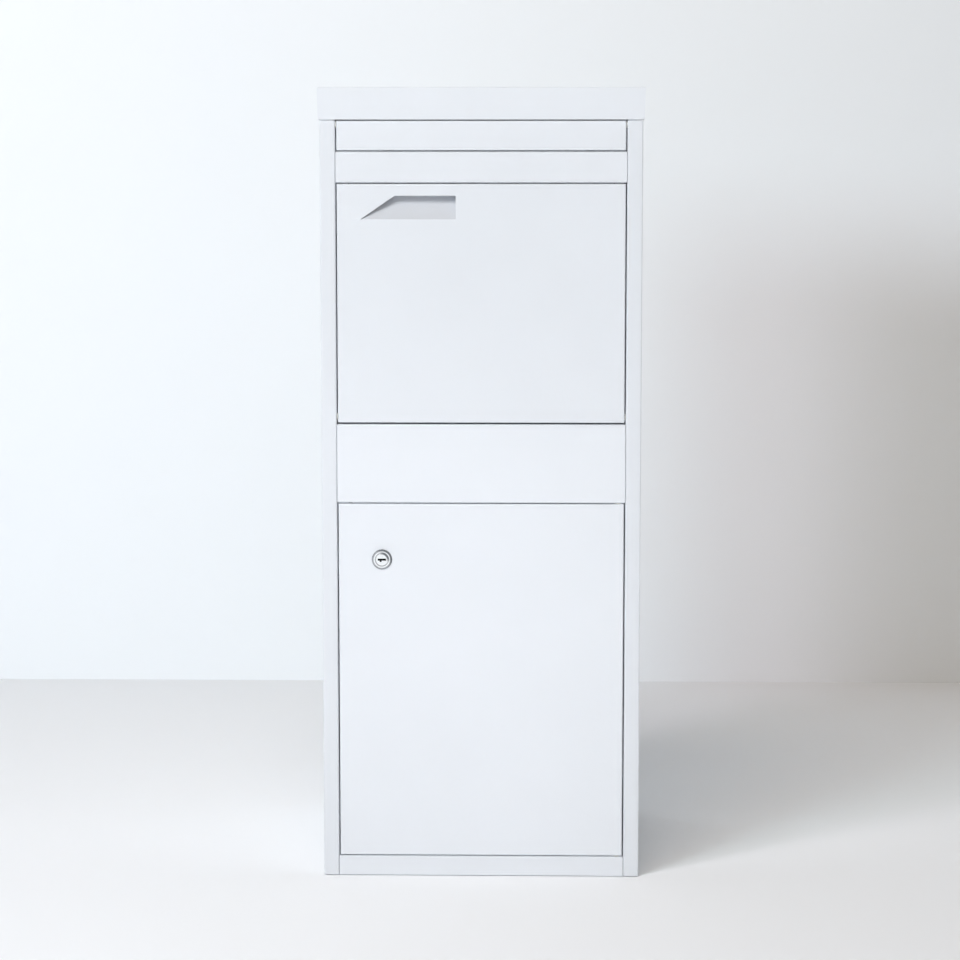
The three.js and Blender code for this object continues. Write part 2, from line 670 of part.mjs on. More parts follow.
// Baffle: its lower lip is rolled round the hopper's pivot, just clear of the tray's sweep
function dropBaffle() {
  const [hemY, hemZ] = polar(BAFFLE_RADIUS + BAFFLE_HEM, BAFFLE_END_ANGLE);
  const lip = arc(BAFFLE_RADIUS, BAFFLE_TOP_ANGLE, BAFFLE_END_ANGLE, BAFFLE_STEPS)
    .map(([a, b]) => [PIVOT_Y + a, HOPPER_PIVOT_Z + b]);
  const top = CHUTE_REAR[1] - BEND_OUTER;
  const sheet = prismX(folded([
    [BAFFLE_Y, top],
    ...lip,
    [PIVOT_Y + hemY, HOPPER_PIVOT_Z + hemZ],
  ]), -BAFFLE_HALF_WIDTH, BAFFLE_HALF_WIDTH);
  const flange = block(
    [BAFFLE_HALF_WIDTH - SHEET, BAFFLE_HALF_WIDTH],
    [BAFFLE_Y, BAFFLE_Y + BAFFLE_SIDE_FLANGE], [lip[0][1], top]);
  return join(sheet, flange, mirrored(flange));
}

// Keeper on the left jamb, in front of the lock's cam
function lockKeeper() {
  const tip = -OPENING + KEEPER_REACH;
  const end = -OPENING - JAMB_RETURN;
  const low = LOCK_Z - KEEPER_HEIGHT / 2;
  const high = LOCK_Z + KEEPER_HEIGHT / 2;
  const outline = rounded(
    [[end, low], [tip, low], [tip, high], [end, high]], [0, KEEPER_CORNER, KEEPER_CORNER, 0]);
  return prismY(outline, JAMB_REAR_Y + FIT, JAMB_REAR_Y + FIT + KEEPER_SHEET);
}

// The moving fronts are modelled round their own pivots
const FACE = -PIVOT_INSET;
const REAR = FACE + FRONT_DEPTH;
const WEIGHT_HALF = FRONT_HALF - WEIGHT_INSET;
const WEIGHT_FRONT = REAR + WEIGHT_GAP;

// Letter flap: stop ears behind the jambs and a shelf for the closing weight
function letterFlap() {
  const bottom = FLAP_BOTTOM - FLAP_PIVOT_Z;
  const front = pan({
    face: FACE, left: -FRONT_HALF, right: FRONT_HALF, bottom, top: FLAP_PIVOT_EDGE,
  });
  const earFace = JAMB_REAR_Y - PIVOT_Y + FIT;
  const earHeights = [bottom + EAR_RISE, bottom + EAR_RISE + EAR_HEIGHT];
  const ear = join(
    block([FRONT_HALF - SHEET, FRONT_HALF], [REAR - SHEET, earFace + SHEET], earHeights),
    block([FRONT_HALF - SHEET, FRONT_HALF + EAR_WIDTH], [earFace, earFace + SHEET], earHeights));
  const shelf = block(
    [-WEIGHT_HALF, WEIGHT_HALF], [REAR - SHEET, WEIGHT_FRONT + WEIGHT_WIDTH],
    [bottom, bottom + SHEET]);
  return cut(
    join(front, ear, mirrored(ear), shelf),
    pinHole('x', [FRONT_HALF, 0, 0]),
    pinHole('-x', [-FRONT_HALF, 0, 0]));
}

function letterFlapWeight() {
  const bottom = FLAP_BOTTOM - FLAP_PIVOT_Z + SHEET + FIT;
  return block(
    [-WEIGHT_HALF, WEIGHT_HALF],
    [WEIGHT_FRONT, WEIGHT_FRONT + WEIGHT_WIDTH],
    [bottom, bottom + WEIGHT_HEIGHT]);
}

// Hopper, in (rear, up) coordinates round its pivot
const HOPPER_EDGE = HOPPER_TOP - HOPPER_PIVOT_Z;
const HANDLE_HIGH = HOPPER_EDGE - HANDLE_DROP;
const HANDLE_LOW = HANDLE_HIGH - HANDLE_HEIGHT;
const SHEET_BACK = FACE + SHEET + FIT;
const CHEEK_FRONT = FACE + BEND_OUTER + FIT;
const CHEEK_OUTER = FRONT_HALF - SHEET - FIT;
const TRAY_HALF = CHEEK_OUTER - SHEET - FIT;
const TRAY_ROOT = [SHEET_BACK + SHEET, TRAY_HEIGHT];
const TRAY_ALONG = polar(1, -TRAY_FALL);
const TRAY_DOWN = polar(1, -TRAY_FALL - 90);

// Point on the tray's line, or that far below it, at a distance along it
const onTray = (along, drop) => [0, 1].map(i => TRAY_ROOT[i] + TRAY_ALONG[i] * along + TRAY_DOWN[i] * drop);

// Distance along that line at which it reaches a radius round the pivot
function trayReach(radius, drop) {
  const start = onTray(0, drop);
  const along = start[0] * TRAY_ALONG[0] + start[1] * TRAY_ALONG[1];
  return Math.sqrt(along ** 2 + radius ** 2 - start[0] ** 2 - start[1] ** 2) - along;
}

function hopperFront() {
  const front = pan({
    face: FACE, left: -FRONT_HALF, right: FRONT_HALF,
    bottom: -PIVOT_EDGE, top: HOPPER_EDGE,
  });
  const opening = prismY([
    [HANDLE_TOE, HANDLE_LOW],
    [HANDLE_END, HANDLE_LOW],
    [HANDLE_END, HANDLE_HIGH],
    [HANDLE_SHOULDER, HANDLE_HIGH],
  ], FACE - SHEET, FACE + 2 * SHEET).translate([-FRONT_HALF, 0, 0]);
  return cut(front, opening, pinHole('x', [FRONT_HALF, 0, 0]), pinHole('-x', [-FRONT_HALF, 0, 0]));
}

// Finger pocket: a plate that slopes back and up from the opening's lower edge, with closed ends
function handlePocket() {
  const high = HANDLE_HIGH + POCKET_RISE;
  const back = SHEET_BACK + POCKET_DEPTH;
  const plate = prismX(folded([
    [SHEET_BACK, high],
    [back, high],
    [SHEET_BACK, HANDLE_LOW],
    [SHEET_BACK, HANDLE_LOW - POCKET_FLANGE],
  ]), POCKET_LEFT, POCKET_RIGHT);
  const end = (x0, x1) => prismX([
    [SHEET_BACK, HANDLE_LOW - SHEET / 2],
    [back + SHEET / 2, high + SHEET / 2],
    [SHEET_BACK, high + SHEET / 2],
  ], x0, x1);
  return join(plate, end(POCKET_LEFT, POCKET_LEFT + SHEET), end(POCKET_RIGHT - SHEET, POCKET_RIGHT));
}

// Right cheek: a sector that fills the side of the open hopper, and a flange that meets the stop
function hopperCheek() {
  const toeDrop = SHEET + CHEEK_DROP;
  const toeHeight = SHEET + FIT - PIVOT_EDGE;
  const toeAlong = (onTray(0, toeDrop)[1] - toeHeight) / -TRAY_ALONG[1];
  const heel = onTray(trayReach(CHEEK_WAIST, toeDrop), toeDrop);
  const heelAngle = THREE.MathUtils.radToDeg(Math.atan2(heel[1], heel[0]));
  const frontAngle = 90 + THREE.MathUtils.radToDeg(Math.asin(-CHEEK_FRONT / CHEEK_REACH));
  const outline = [
    [CHEEK_FRONT, toeHeight],
    onTray(toeAlong, toeDrop),
    ...arc(CHEEK_WAIST, heelAngle, CHEEK_EDGE_ANGLE, CHEEK_STEPS),
    ...arc(CHEEK_REACH, CHEEK_EDGE_ANGLE, frontAngle, CHEEK_STEPS),
  ];
  const plate = prismX(outline, CHEEK_OUTER - SHEET, CHEEK_OUTER);
  const ahead = polar(SHEET, CHEEK_EDGE_ANGLE + 90);
  const edge = radius => polar(radius, CHEEK_EDGE_ANGLE);
  const raised = radius => edge(radius).map((value, i) => value + ahead[i]);
  const flange = prismX([
    edge(CHEEK_WAIST + CHEEK_RELIEF),
    edge(CHEEK_REACH - CHEEK_RELIEF),
    raised(CHEEK_REACH - CHEEK_RELIEF),
    raised(CHEEK_WAIST + CHEEK_RELIEF),
  ], CHEEK_OUTER - SHEET / 2, CHEEK_OUTER + CHEEK_STOP_FLANGE);
  return cut(join(plate, flange), pinHole('x', [CHEEK_OUTER, 0, 0]));
}

// Tray: the hopper's floor, tipped to the rear when the hopper is shut
function hopperTray() {
  const length = trayReach(TRAY_REACH, 0);
  const sheet = prismX(folded([
    onTray(length, TRAY_HEM),
    onTray(length, 0),
    TRAY_ROOT,
    [TRAY_ROOT[0], TRAY_HEIGHT + TRAY_FRONT_FLANGE],
  ]), -TRAY_HALF, TRAY_HALF);
  const flange = prismX([
    onTray(TRAY_RELIEF, SHEET / 2),
    onTray(length - TRAY_RELIEF, SHEET / 2),
    onTray(length - TRAY_RELIEF, -TRAY_SIDE_FLANGE),
    onTray(TRAY_RELIEF, -TRAY_SIDE_FLANGE),
  ], TRAY_HALF - SHEET, TRAY_HALF);
  return join(sheet, flange, mirrored(flange));
}

// Length of the stop buffers, from the flange's place when the hopper is fully open
function stopBufferHead() {
  const open = radians(CHEEK_EDGE_ANGLE + HOPPER_SWING);
  const radius = (STOP_RADIUS - SHEET * Math.cos(open)) / Math.sin(open);
  const flangeFace = radius * Math.cos(open) - SHEET * Math.sin(open);
  return PIVOT_Y + flangeFace - STOP_GAP - JAMB_REAR_Y - FIT;
}

// Door, in coordinates from its pin axis and the floor
function doorPanel() {
  const left = -FRONT_HALF - DOOR_PIVOT_X;
  const panel = pan({
    face: FACE, left, right: PIVOT_EDGE, bottom: DOOR_BOTTOM, top: DOOR_TOP, lip: DOOR_LIP,
  });
  const lockHole = keyedBarrel(BARREL_RADIUS + FIT, BARREL_FLAT + FIT, -SHEET, 2 * SHEET)
    .translate([LOCK_X - DOOR_PIVOT_X, FACE, LOCK_Z]);
  return cut(
    panel, lockHole,
    pinHole('z', [0, 0, DOOR_TOP]),
    pinHole('-z', [0, 0, DOOR_BOTTOM]));
}

// Cam lock, in coordinates from the door's face, with +Y into the box
function keyedBarrel(radius, flat, h0, h1) {
  const slab = block([-2 * radius, 2 * radius], [h0, h1], [-flat, flat]);
  return meet(rod(radius, 'y', [0, 0, 0], h0, h1), slab);
}

const RING_FRONT = -FIT - BEZEL_HEIGHT;
const PLUG_FRONT = RING_FRONT + PLUG_RECESS;
const PLUG_SEAT = PLUG_FRONT + PLUG_FACE;
const CAM_FRONT = BARREL_LENGTH + 2 * FIT;
const CAM_BACK = CAM_FRONT + CAM_THICKNESS;

function lockBody() {
  const bezel = revolved([
    [0, RING_FRONT],
    [BEZEL_RADIUS - BEZEL_BEVEL, RING_FRONT],
    [BEZEL_RADIUS, RING_FRONT + BEZEL_BEVEL],
    [BEZEL_RADIUS, -FIT],
    [0, -FIT],
  ], 'y', [0, 0, 0]);
  return cut(
    join(bezel, keyedBarrel(BARREL_RADIUS, BARREL_FLAT, -2 * FIT, BARREL_LENGTH)),
    rod(PLUG_FACE_RADIUS + FIT, 'y', [0, 0, 0], RING_FRONT - FIT, PLUG_SEAT + FIT),
    rod(PLUG_RADIUS + FIT, 'y', [0, 0, 0], 0, BARREL_LENGTH + FIT));
}

function lockNut() {
  const front = SHEET + FIT;
  const corner = LOCK_NUT_FLATS / 2 / Math.cos(radians(30));
  const nut = prismY(polygon(corner, 6), front, front + LOCK_NUT_HEIGHT);
  return cut(nut, rod(BARREL_RADIUS + FIT, 'y', [0, 0, 0], 0, 2 * LOCK_NUT_HEIGHT));
}

// Plug with its keyway, a square tang for the cam and a bore for the cam's screw
function lockPlug() {
  const body = revolved([
    [0, PLUG_FRONT],
    [PLUG_FACE_RADIUS, PLUG_FRONT],
    [PLUG_FACE_RADIUS, PLUG_SEAT],
    [PLUG_RADIUS, PLUG_SEAT],
    [PLUG_RADIUS, BARREL_LENGTH + FIT],
    [0, BARREL_LENGTH + FIT],
  ], 'y', [0, 0, 0]);
  const tang = block([-TANG / 2, TANG / 2], [BARREL_LENGTH, CAM_BACK - FIT], [-TANG / 2, TANG / 2]);
  const depth = [PLUG_FRONT - FIT, PLUG_FRONT + KEYWAY_DEPTH];
  const halfLength = KEYWAY_LENGTH / 2;
  const halfWidth = KEYWAY_WIDTH / 2;
  const slot = block([-halfLength, halfLength], depth, [-halfWidth, halfWidth]);
  const notch = block(
    [-NOTCH_OFFSET - halfWidth, halfWidth - NOTCH_OFFSET], depth, [-halfWidth - NOTCH_HEIGHT, 0]);
  const screwBore = rod(CAM_SCREW_SHANK + FIT, 'y', [0, 0, 0], CAM_BACK - CAM_SCREW_LENGTH - FIT, CAM_BACK);
  return cut(join(body, tang), slot, notch, screwBore);
}

// Cam: it hangs down when the lock is open and turns to the left behind the keeper
function lockCam() {
  const tip = CAM_LENGTH - CAM_TIP;
  const outline = [
    ...arc(CAM_HUB, 0, 180, CAM_STEPS),
    ...arc(CAM_TIP, 180, 360, CAM_STEPS).map(([a, b]) => [a, b - tip]),
  ];
  const hole = TANG / 2 + FIT;
  return cut(
    prismY(outline, CAM_FRONT, CAM_BACK),
    block([-hole, hole], [CAM_FRONT - FIT, CAM_BACK + FIT], [-hole, hole]));
}

function camScrew() {
  const seat = CAM_BACK + FIT;
  return revolved([
    [0, CAM_BACK - CAM_SCREW_LENGTH],
    [CAM_SCREW_SHANK, CAM_BACK - CAM_SCREW_LENGTH],
    [CAM_SCREW_SHANK, seat],
    [CAM_SCREW_RADIUS, seat],
    [CAM_SCREW_RADIUS, seat + CAM_SCREW_HEAD - CAM_SCREW_CHAMFER],
    [CAM_SCREW_RADIUS - CAM_SCREW_CHAMFER, seat + CAM_SCREW_HEAD],
    [0, seat + CAM_SCREW_HEAD],
  ], 'y', [0, 0, 0]);
}

// Scene graph: the cabinet carries three pivoting fronts, and the door carries the lock's plug
function group(parent, [x, y, z]) {
  const child = new THREE.Group();
  child.position.set(x, y, z);
  parent.add(child);
  return child;
}

function piece(parent, name, body, finish) {
  const mesh = new THREE.Mesh(geometryOf(body), new THREE.MeshStandardMaterial(finish));
  mesh.name = name;
  parent.add(mesh);
}

const SIDES = [['left', -1, '-x'], ['right', 1, 'x']];

function addCabinet(parent) {
  const side = sidePanel();
  piece(parent, 'side_panel_left', mirrored(side), PAINT);
  piece(parent, 'side_panel_right', side, PAINT);
  piece(parent, 'back_panel', backPanel(), PAINT);
  piece(parent, 'base_pan', basePan(), PAINT);
  piece(parent, 'roof_cap', roofCap(), PAINT);
  piece(parent, 'header_rail', headerRail(), PAINT);
  piece(parent, 'upper_rail', upperRail(), PAINT);
  piece(parent, 'middle_panel', middlePanel(), PAINT);
  piece(parent, 'lower_rail', lowerRail(), PAINT);
  piece(parent, 'letter_chute', letterChute(), PAINT);
  piece(parent, 'drop_baffle', dropBaffle(), PAINT);
  piece(parent, 'lock_keeper', lockKeeper(), ZINC);
  for (const [name, sign] of SIDES) {
    piece(parent, `cap_nut_front_${name}`, capNut([sign * STUD_X, FRONT_Y + STUD_INSET]), ZINC);
    piece(parent, `cap_nut_rear_${name}`, capNut([sign * STUD_X, BACK_Y - STUD_INSET]), ZINC);
  }
}

function addCabinetBushes(parent) {
  for (const [name, sign, axis] of SIDES) {
    const flapAt = [sign * OPENING, PIVOT_Y, FLAP_PIVOT_Z];
    const hopperAt = [sign * OPENING, PIVOT_Y, HOPPER_PIVOT_Z];
    piece(parent, `letter_flap_bush_${name}`, pivotBush(axis, flapAt, PANEL_GAP), NYLON);
    piece(parent, `hopper_bush_${name}`, pivotBush(axis, hopperAt, PANEL_GAP), NYLON);
  }
  const topAt = [DOOR_PIVOT_X, PIVOT_Y, MIDDLE_PANEL_BOTTOM];
  const bottomAt = [DOOR_PIVOT_X, PIVOT_Y, LOWER_RAIL_HEIGHT];
  piece(parent, 'door_bush_top', pivotBush('z', topAt, FRONT_JOINT), NYLON);
  piece(parent, 'door_bush_bottom', pivotBush('-z', bottomAt, FRONT_JOINT), NYLON);
}

function addBuffers(parent) {
  for (const [name, sign] of SIDES) {
    const stopAt = [sign * STOP_BUFFER_X, JAMB_REAR_Y, STOP_BUFFER_Z];
    const closingAt = [sign * CLOSING_BUFFER_X, REBATE_Y, HOPPER_BUFFER_Z];
    piece(parent, `hopper_stop_buffer_${name}`, buffer('y', stopAt, stopBufferHead()), RUBBER);
    piece(parent, `hopper_closing_buffer_${name}`, buffer('-y', closingAt, CLOSING_HEAD), RUBBER);
  }
  const highAt = [-CLOSING_BUFFER_X, REBATE_Y, DOOR_BUFFER_HIGH];
  const lowAt = [-CLOSING_BUFFER_X, REBATE_Y, DOOR_BUFFER_LOW];
  piece(parent, 'door_buffer_top', buffer('-y', highAt, CLOSING_HEAD), RUBBER);
  piece(parent, 'door_buffer_bottom', buffer('-y', lowAt, CLOSING_HEAD), RUBBER);
}

function addLetterFlap(parent) {
  piece(parent, 'letter_flap', letterFlap(), PAINT);
  piece(parent, 'letter_flap_weight', letterFlapWeight(), ZINC);
  for (const [name, sign, axis] of SIDES) {
    piece(parent, `letter_flap_pin_${name}`, pivotPin(axis, [sign * FRONT_HALF, 0, 0], PANEL_GAP), ZINC);
  }
}

function addHopper(parent) {
  const cheek = hopperCheek();
  const stack = 2 * SHEET + FIT;
  piece(parent, 'hopper_front', hopperFront(), PAINT);
  piece(parent, 'handle_pocket', handlePocket(), PAINT);
  piece(parent, 'hopper_cheek_left', mirrored(cheek), PAINT);
  piece(parent, 'hopper_cheek_right', cheek, PAINT);
  piece(parent, 'hopper_tray', hopperTray(), PAINT);
  for (const [name, sign, axis] of SIDES) {
    piece(parent, `hopper_pin_${name}`, pivotPin(axis, [sign * FRONT_HALF, 0, 0], PANEL_GAP, stack), ZINC);
  }
}

function addDoor(parent) {
  piece(parent, 'door_panel', doorPanel(), PAINT);
  piece(parent, 'door_pin_top', pivotPin('z', [0, 0, DOOR_TOP], FRONT_JOINT), ZINC);
  piece(parent, 'door_pin_bottom', pivotPin('-z', [0, 0, DOOR_BOTTOM], FRONT_JOINT), ZINC);
  const lock = group(parent, [LOCK_X - DOOR_PIVOT_X, FACE, LOCK_Z]);
  piece(lock, 'lock_body', lockBody(), NICKEL);
  piece(lock, 'lock_nut', lockNut(), ZINC);
  const turning = group(lock, [0, 0, 0]);
  piece(turning, 'lock_plug', lockPlug(), NICKEL);
  piece(turning, 'lock_cam', lockCam(), ZINC);
  piece(turning, 'cam_screw', camScrew(), ZINC);
}

const dropBox = new THREE.Group();
addCabinet(dropBox);
addCabinetBushes(dropBox);
addBuffers(dropBox);
addLetterFlap(group(dropBox, [0, PIVOT_Y, FLAP_PIVOT_Z]));
addHopper(group(dropBox, [0, PIVOT_Y, HOPPER_PIVOT_Z]));
addDoor(group(dropBox, [DOOR_PIVOT_X, PIVOT_Y, 0]));

export default dropBox;
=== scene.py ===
"""Looks of the parcel drop box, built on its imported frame. Metres, in the frame's own axes."""

from math import radians

import bpy
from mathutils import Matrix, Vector

# Camera: place, how far it looks down and is turned (degrees), lens and sensor (millimetres)
CAMERA_PLACE = (0.0738, -3.6885, 0.9505)
CAMERA_PITCH = 6.75
CAMERA_TURN = 1.231
CAMERA_LENS = 100.05
SENSOR = 36.0

# Room: a square floor and a wall across it, which fade to the backdrop far from the box
WALL_Y = 1.175
ROOM_HALF = 9.0
ROOM_HEIGHT = 7.0
WALL_COLOUR = (0.905, 0.94, 0.955)
FLOOR_COLOUR = (0.86, 0.885, 0.905)
BACKDROP_COLOUR = (0.97, 0.985, 1.0)
FADE_START = 2.0
FADE_END = 3.4
MATT_SHADE = 0.985
MATT_CLOUDS = (1.5, 3.0)
MATT_ROUGHNESS = 0.9
MATT_SPECULAR = 0.2

# Lamps: place, what they face, size, spread, power, colour and what they light
LAMPS = {
    "key": ((-0.95, -3.25, 2.67), (0.0, -0.19, 0.9), 1.4, 180, 75.0, (0.965, 0.985, 1.0), "box"),
    "fill": ((0.3, -4.5, 1.2), (0.0, -0.19, 0.6), 2.5, 180, 14.0, (0.97, 0.985, 1.0), "box"),
    "low": ((-0.3, -2.2, 0.4), (-0.03, -0.19, 0.36), 0.6, 24, 0.14, (0.92, 0.93, 1.0), "box"),
    "right": ((3.2, 0.5, 1.4), (0.2, 0.1, 0.5), 1.5, 180, 24.0, (0.98, 0.99, 1.0), "box"),
    "left": ((-3.2, 0.5, 1.4), (-0.2, 0.1, 0.5), 1.5, 180, 14.0, (0.98, 0.99, 1.0), "box"),
    "above": ((0.0, 0.5, 3.3), (0.0, 0.0, 1.05), 0.8, 180, 15.0, (0.98, 0.99, 1.0), "box"),
    "window": ((-3.0, -3.0, 2.0), (0.0, 0.3, 0.3), 0.8, 180, 65.0, (0.93, 0.88, 1.0), "room"),
    "doorway": ((-2.0, -3.2, 1.8), (0.0, 0.3, 0.3), 1.0, 180, 57.0, (0.7, 0.91, 1.0), "room"),
    "ceiling": ((-0.6, -1.8, 3.8), (0.2, -0.6, 0.0), 2.0, 180, 66.0, (1.0, 0.88, 0.77), "room"),
}
GLOSS_LAMP = "key"
WORLD_STRENGTH = 0.17
WORLD_COLOUR = (1.0, 0.88, 0.81)

# Smoothing of the faceted bends and round parts
SMOOTH_ANGLE = 31
WELD = 1e-5
FACE_WEIGHT = 100

# Powder coat: tones as sRGB from 0 to 255, noise as scale and detail, bumps as depth and strength
# One white coat in lit and shaded copies: the middle and door panels' tone is lighter as painted
# light; the hopper front's, the side panels' and the pocket's and box's hidden parts' tones are
# darker as painted shade
COATS = {
    "front": (238, 242, 247),
    "tilting": (237, 241, 246),
    "lower_lit": (241, 245, 250),
    "stile_shaded": (235, 239, 244),
    "inner_shaded": (226, 229, 234),
}
COAT_DROP = 5
COAT_CLOUDS = (3.2, 3.0)
COAT_GRAIN = (1500, 1.0)
GRAIN_SHARE = 0.25
COAT_SHEEN = (26, 4.0)
COAT_ROUGHNESS = (0.40, 0.52)
PEEL = (420, 1.0)
PEEL_BUMP = (0.00012, 0.5)
SKIN = (1500, 2.0)
SKIN_BUMP = (0.00004, 0.5)

# Shallow groove across the tilting front, level with the lower edge of its handle
GROOVE_HEIGHT = 0.8791
GROOVE_HALF = 0.0015
GROOVE_BUMP = (0.000045, 1.0)

# Bright zinc
ZINC_TONES = ((168, 172, 178), (198, 201, 204))
ZINC_CLOUDS = (90, 4.0)
ZINC_SHEEN = (160, 3.0)
ZINC_ROUGHNESS = (0.24, 0.42)
ZINC_MARKS = (900, 2.0)
ZINC_BUMP = (0.00003, 0.6)

# Polished nickel: bright tones, and those of the painted shade in its seam and on its rim and of
# the painted shade in the keyway
NICKEL_TONES = ((238, 240, 242), (252, 252, 253))
SHADE_TONE = (122, 125, 130)
KEYWAY_SHADE_TONE = (16, 16, 18)
NICKEL_STREAKS = (600, 2.0)
STREAK_STRETCH = (0.25, 1, 4)
NICKEL_ROUGHNESS = (0.16, 0.27)
NICKEL_BUMP = (0.00002, 0.5)

# Lock: its axis across and up, and how deep its face and keyway lie
LOCK_ACROSS = -0.1315
LOCK_UP = 0.4298
LOCK_FACE = -0.1914
KEYWAY_DEPTH = 0.01
# The keyway's painted shade reaches about 0.3 mm past the slot, onto a thin border of the face
KEYWAY_HALF = (0.0056, 0.00135)
NOTCH_PLACE = (-0.0017, -0.0018)
NOTCH_HALF = (0.0013, 0.0013)

# Painted shade on the lock: a ring's radius and how far from it the shade is full and gone, the
# radii where the rim's begins and is full, and how far to the upper right more of it begins and
# is full
PLUG_SEAM = 0.0086
SEAM_WIDTH = (0.0005, 0.0012)
SEAM_SHARE = 0.4
DEEP_SEAM = 0.0082
DEEP_WIDTH = (0.0010, 0.0022)
RIM_EDGE = (0.0104, 0.0116)
RIM_SHARE = 0.72
SHADE_SIDE_REACH = (0.003, 0.010)

# Moulded pieces: tone, range of roughness, and the grain's noise
MOULDED = {
    "nylon": ((232, 232, 226), (0.42, 0.6), (700, 2.0)),
    "rubber": ((34, 35, 38), (0.62, 0.85), (500, 2.0)),
}
MOULD_DROP = 9
MOULD_CLOUDS = (120, 3.0)
MOULD_SHEEN = (300, 2.0)
MOULD_BUMP = (0.00005, 0.6)

# Finishes by a node's name or a word in it; every other node is coated, as a front unless named
FINISH_WORDS = {
    "nickel": ("lock_body", "lock_plug"),
    "nylon": ("bush",),
    "rubber": ("buffer",),
    "zinc": ("pin", "nut", "keeper", "weight", "cam", "screw"),
}
# Pieces with a lit or shaded copy of the coat: middle and door panels as painted light, the rest
# as painted shade
COATED_NODES = {
    "tilting": ("hopper_front",),
    "lower_lit": ("middle_panel", "door_panel"),
    "stile_shaded": ("side_panel_left", "side_panel_right"),
    "inner_shaded": (
        "letter_chute", "drop_baffle", "hopper_tray", "hopper_cheek_left", "hopper_cheek_right",
        "handle_pocket",
    ),
}

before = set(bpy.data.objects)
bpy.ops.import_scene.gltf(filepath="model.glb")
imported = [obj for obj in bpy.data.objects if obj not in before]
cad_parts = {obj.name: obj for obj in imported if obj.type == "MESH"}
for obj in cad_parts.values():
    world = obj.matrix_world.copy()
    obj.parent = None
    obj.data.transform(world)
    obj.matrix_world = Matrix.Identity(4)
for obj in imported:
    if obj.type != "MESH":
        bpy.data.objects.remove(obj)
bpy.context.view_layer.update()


def link(obj):
    """Puts an object into the scene."""
    bpy.context.scene.collection.objects.link(obj)
    return obj


# Node graphs
class Graph:
    """A material's node tree with short calls for the nodes used here."""

    def __init__(self, name):
        self.material = bpy.data.materials.new(name)
        self.material.use_nodes = True
        self.tree = self.material.node_tree
        self.shader = self.tree.nodes["Principled BSDF"]
        self.place = self.tree.nodes.new("ShaderNodeTexCoord").outputs["Object"]

    def wire(self, source, target):
        self.tree.links.new(source, target)

    def stretched(self, scale):
        """Object coordinates scaled along each axis."""
        node = self.tree.nodes.new("ShaderNodeMapping")
        node.inputs["Scale"].default_value = scale
        self.wire(self.place, node.inputs["Vector"])
        return node.outputs["Vector"]

    def noise(self, scale, detail, place=None):
        node = self.tree.nodes.new("ShaderNodeTexNoise")
        node.inputs["Scale"].default_value = scale
        node.inputs["Detail"].default_value = detail
        self.wire(place or self.place, node.inputs["Vector"])
        return node.outputs["Fac"]

    def spread(self, value, low, high, start=0.3, end=0.7):
        """Maps a value between start and end onto low to high, clamped."""
        node = self.tree.nodes.new("ShaderNodeMapRange")
        limits = {"From Min": start, "From Max": end, "To Min": low, "To Max": high}
        for name, number in limits.items():
            node.inputs[name].default_value = number
        self.wire(value, node.inputs["Value"])
        return node.outputs["Result"]

    def mix(self, share, first, second):
        """Colour between two, each a colour or an output."""
        node = self.tree.nodes.new("ShaderNodeMix")
        node.data_type = "RGBA"
        self.wire(share, node.inputs["Factor"])
        for name, colour in (("A", first), ("B", second)):
            socket = next(s for s in node.inputs if s.name == name and s.type == "RGBA")
            if isinstance(colour, bpy.types.NodeSocket):
                self.wire(colour, socket)
            else:
                socket.default_value = (*colour, 1)
        return next(s for s in node.outputs if s.type == "RGBA")

    def axes(self):
        """Object coordinates across, front to back, and up."""
        node = self.tree.nodes.new("ShaderNodeSeparateXYZ")
        self.wire(self.place, node.inputs["Vector"])
        return [node.outputs[axis] for axis in "XYZ"]

    def math(self, operation, *values):
        """One step of arithmetic on numbers and outputs."""
        node = self.tree.nodes.new("ShaderNodeMath")
        node.operation = operation
        for socket, value in zip(node.inputs, values):
            if isinstance(value, bpy.types.NodeSocket):
                self.wire(value, socket)
            else:
                socket.default_value = value
        return node.outputs["Value"]

    def away(self, value, centre):
        """How far a value lies from the centre, either way."""
        return self.math("ABSOLUTE", self.math("SUBTRACT", value, centre))

    def near(self, value, centre, full, none):
        """1 within full of the centre, falling to 0 at none."""
        return self.spread(self.away(value, centre), 1, 0, full, none)

    def patch(self, across, up, centre, half):
        """1 inside an upright rectangle, 0 outside it."""
        sides = [
            self.math("LESS_THAN", self.away(value, middle), reach)
            for value, middle, reach in zip((across, up), centre, half)
        ]
        return self.math("MULTIPLY", *sides)

    def bump(self, height, depth, strength, below=None):
        node = self.tree.nodes.new("ShaderNodeBump")
        node.inputs["Strength"].default_value = strength
        node.inputs["Distance"].default_value = depth
        self.wire(height, node.inputs["Height"])
        if below is not None:
            self.wire(below, node.inputs["Normal"])
        return node.outputs["Normal"]

    def blend(self, share, first, second):
        """Shader between two."""
        node = self.tree.nodes.new("ShaderNodeMixShader")
        for socket, source in zip(node.inputs, (share, first, second)):
            self.wire(source, socket)
        return node.outputs["Shader"]

    def finish(self, colour, roughness, normal):
        """Wires the shader and gives back the material."""
        self.wire(colour, self.shader.inputs["Base Color"])
        self.wire(roughness, self.shader.inputs["Roughness"])
        self.wire(normal, self.shader.inputs["Normal"])
        return self.material


def linear(red, green, blue):
    """Scene colour of an sRGB colour given from 0 to 255."""
    return tuple(
        c / 12.92 if c <= 0.04045 else ((c + 0.055) / 1.055) ** 2.4
        for c in (red / 255, green / 255, blue / 255)
    )


def darker(colour, drop):
    """An sRGB colour from 0 to 255, lowered, as a scene colour."""
    return linear(*(max(0, c - drop) for c in colour))


